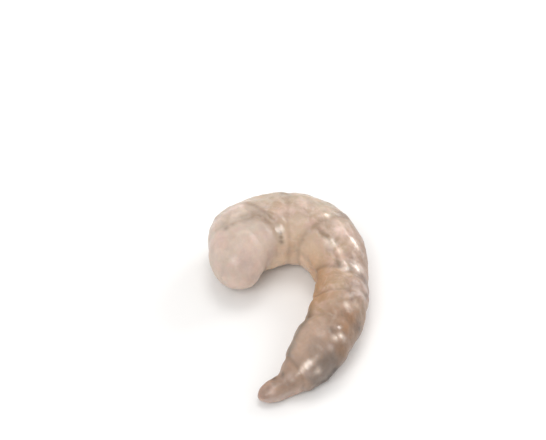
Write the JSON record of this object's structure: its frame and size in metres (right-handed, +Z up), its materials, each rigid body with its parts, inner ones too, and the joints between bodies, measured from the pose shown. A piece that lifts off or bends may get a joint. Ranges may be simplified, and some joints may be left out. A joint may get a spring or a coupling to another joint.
{
  "type": "raw tiger prawn",
  "caption": "Raw peeled tiger prawn without head or shell, curled in a C and lying on one flank, with a swollen pinkish cut end, grey-mottled back and a bare tail stub.",
  "frame": {"origin": "bottom centre of the bounding box, on the surface the prawn lies on", "axes": "+Z up out of the upper flank, +Y from the tail stub towards the crest of the curl, +X towards the outer side of the rear limb"},
  "size_m": [0.0424, 0.0632, 0.0176],
  "materials": {
    "raw_flesh": "wet translucent flesh"
  },
  "bodies": {
    "root": {"prawn": "raw_flesh"}
  },
  "joints": []
}
